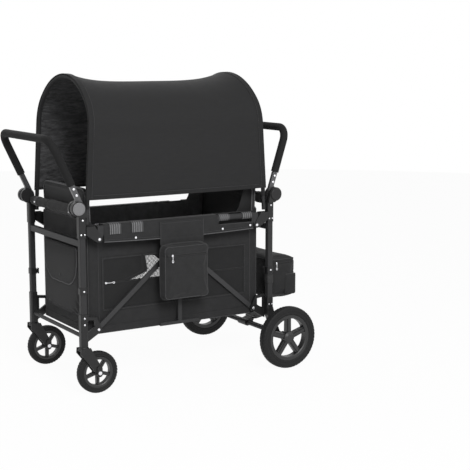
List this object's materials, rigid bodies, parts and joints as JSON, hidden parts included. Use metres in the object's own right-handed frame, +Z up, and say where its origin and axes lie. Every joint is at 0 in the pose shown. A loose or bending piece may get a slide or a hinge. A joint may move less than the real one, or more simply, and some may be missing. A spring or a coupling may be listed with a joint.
{
  "type": "stroller wagon",
  "caption": "Folding stroller wagon with posts, scissor sides, cloth tub, arched canopy, swing-down push handles, swivel front casters, rear wheels with brake, side pouch and cooler bag.",
  "frame": {"origin": "middle of the wagon's outline on the floor", "axes": "+X towards the rear wheels and the brake, +Y to the right of someone walking forward, +Z up"},
  "size_m": [1.2332, 0.77, 1.3126],
  "materials": {
    "frame_paint": "satin",
    "bar_aluminium": "satin black",
    "handle_aluminium": "satin",
    "black_plastic": "matte",
    "rim_plastic": "satin",
    "button_black": "satin",
    "button_grey": "knurled",
    "tyre": "matte",
    "grip_foam": "matte",
    "wrap_fabric": "fabric wrap",
    "rivet_steel": "bright",
    "fabric": "woven"
  },
  "bodies": {
    "front_frame": {"front_posts": "frame_paint", "front_crossbars": "frame_paint", "front_top_bar": "wrap_fabric", "front_collars": "black_plastic", "front_corner_clips": "black_plastic", "front_leg_sleeves": "black_plastic", "front_rail_brackets": "black_plastic", "front_handle_hubs": "black_plastic", "front_canopy_hoop": "frame_paint", "front_fasteners": "rivet_steel", "tub": "fabric", "front_pocket": "fabric", "front_seat_back": "fabric", "front_seat_cushion": "fabric", "floor_mat": "fabric", "canopy": "fabric"},
    "outer_bars": {"outer_cross_bars": "bar_aluminium", "crossing_pins": "rivet_steel"},
    "inner_bars": {"inner_cross_bars": "bar_aluminium"},
    "centre": {"centre_hangers": "frame_paint", "floor_spine": "frame_paint", "side_pouch": "fabric"},
    "front_side_rails": {"front_rails": "frame_paint"},
    "rear_side_rails": {"rear_rails": "frame_paint"},
    "rear_frame": {"rear_posts": "frame_paint", "rear_crossbars": "frame_paint", "rear_top_bar": "wrap_fabric", "rear_collars": "black_plastic", "rear_corner_clips": "black_plastic", "rear_leg_sleeves": "black_plastic", "rear_rail_brackets": "black_plastic", "rear_handle_hubs": "black_plastic", "rear_canopy_hoop": "frame_paint", "rear_fasteners": "rivet_steel", "rear_seat_back": "fabric", "rear_seat_cushion": "fabric", "rear_axle": "frame_paint", "cooler_bag": "fabric"},
    "front_handle": {"front_handle_tube": "handle_aluminium", "front_handle_grip": "grip_foam"},
    "rear_handle": {"rear_handle_tube": "handle_aluminium", "rear_handle_grip": "grip_foam"},
    "caster_left": {"caster_fork_left": "black_plastic", "caster_axle_left": "rivet_steel"},
    "caster_right": {"caster_fork_right": "black_plastic", "caster_axle_right": "rivet_steel"},
    "front_wheel_left": {"front_rim_left": "rim_plastic", "front_tyre_left": "tyre"},
    "front_wheel_right": {"front_rim_right": "rim_plastic", "front_tyre_right": "tyre"},
    "rear_wheel_left": {"rear_rim_left": "rim_plastic", "rear_tyre_left": "tyre"},
    "rear_wheel_right": {"rear_rim_right": "rim_plastic", "rear_tyre_right": "tyre"},
    "brake": {"brake_pedal": "black_plastic"},
    "front_button_l": {"front_button_left": "button_grey"},
    "front_button_r": {"front_button_right": "button_black"},
    "rear_button_l": {"rear_button_left": "button_black"},
    "rear_button_r": {"rear_button_right": "button_black"}
  },
  "joints": [
    {"name": "fold", "type": "hinge", "parent": "front_frame", "child": "outer_bars", "pos_m": [-0.40076, 0, 0.265], "axis": [0, -1, 0], "range_deg": [0, 41], "deforming": ["tub", "canopy", "floor_mat", "front_seat_cushion", "rear_seat_cushion"]},
    {"name": "fold_crossing", "type": "hinge", "parent": "outer_bars", "child": "inner_bars", "pos_m": [-0.01676, 0, 0.59], "axis": [0, 1, 0], "range_deg": [0, 82]},
    {"name": "fold_rear", "type": "hinge", "parent": "inner_bars", "child": "rear_frame", "pos_m": [0.36724, 0, 0.265], "axis": [0, -1, 0], "range_deg": [0, 41]},
    {"name": "fold_hanger", "type": "hinge", "parent": "outer_bars", "child": "centre", "pos_m": [-0.01676, 0, 0.59], "axis": [0, 1, 0], "range_deg": [0, 41]},
    {"name": "fold_front_rail", "type": "hinge", "parent": "front_frame", "child": "front_side_rails", "pos_m": [-0.39926, 0, 0.646], "axis": [0, -1, 0], "range_deg": [0, 70.56]},
    {"name": "fold_rear_rail", "type": "hinge", "parent": "rear_frame", "child": "rear_side_rails", "pos_m": [0.36574, 0, 0.646], "axis": [0, 1, 0], "range_deg": [0, 70.56]},
    {"name": "front_handle_turn", "type": "hinge", "parent": "front_frame", "child": "front_handle", "pos_m": [-0.49276, 0, 0.778], "axis": [0, -1, 0], "range_deg": [0, 155]},
    {"name": "rear_handle_turn", "type": "hinge", "parent": "rear_frame", "child": "rear_handle", "pos_m": [0.45924, 0, 0.778], "axis": [0, 1, 0], "range_deg": [0, 135]},
    {"name": "caster_swivel_left", "type": "hinge", "parent": "front_frame", "child": "caster_left", "pos_m": [-0.47276, -0.267, 0.2], "axis": [0, 0, 1], "continuous": true},
    {"name": "front_wheel_spin_left", "type": "hinge", "parent": "caster_left", "child": "front_wheel_left", "pos_m": [-0.41476, -0.267, 0.089], "axis": [0, 1, 0], "continuous": true},
    {"name": "rear_wheel_spin_left", "type": "hinge", "parent": "rear_frame", "child": "rear_wheel_left", "pos_m": [0.47664, -0.364, 0.14], "axis": [0, 1, 0], "continuous": true},
    {"name": "caster_swivel_right", "type": "hinge", "parent": "front_frame", "child": "caster_right", "pos_m": [-0.47276, 0.267, 0.2], "axis": [0, 0, 1], "continuous": true},
    {"name": "front_wheel_spin_right", "type": "hinge", "parent": "caster_right", "child": "front_wheel_right", "pos_m": [-0.41476, 0.267, 0.089], "axis": [0, 1, 0], "continuous": true},
    {"name": "rear_wheel_spin_right", "type": "hinge", "parent": "rear_frame", "child": "rear_wheel_right", "pos_m": [0.47664, 0.364, 0.14], "axis": [0, 1, 0], "continuous": true},
    {"name": "brake_press", "type": "hinge", "parent": "rear_frame", "child": "brake", "pos_m": [0.47664, 0, 0.14], "axis": [0, 1, 0], "range_deg": [0, 18]},
    {"name": "front_button_push_l", "type": "slide", "parent": "front_frame", "child": "front_button_l", "axis": [0, 1, 0], "range_m": [0, 0.004], "stiffness_N_per_m": 600},
    {"name": "front_button_push_r", "type": "slide", "parent": "front_frame", "child": "front_button_r", "axis": [0, -1, 0], "range_m": [0, 0.004], "stiffness_N_per_m": 600},
    {"name": "rear_button_push_l", "type": "slide", "parent": "rear_frame", "child": "rear_button_l", "axis": [0, 1, 0], "range_m": [0, 0.004], "stiffness_N_per_m": 600},
    {"name": "rear_button_push_r", "type": "slide", "parent": "rear_frame", "child": "rear_button_r", "axis": [0, -1, 0], "range_m": [0, 0.004], "stiffness_N_per_m": 600}
  ],
  "couplings": [
    {"joint": "fold_crossing", "follows": "fold", "ratio": 2},
    {"joint": "fold_rear", "follows": "fold", "ratio": 1},
    {"joint": "fold_hanger", "follows": "fold", "ratio": 1},
    {"joint": "fold_front_rail", "follows": "fold", "ratio": 1.7089},
    {"joint": "fold_rear_rail", "follows": "fold", "ratio": 1.7089}
  ]
}
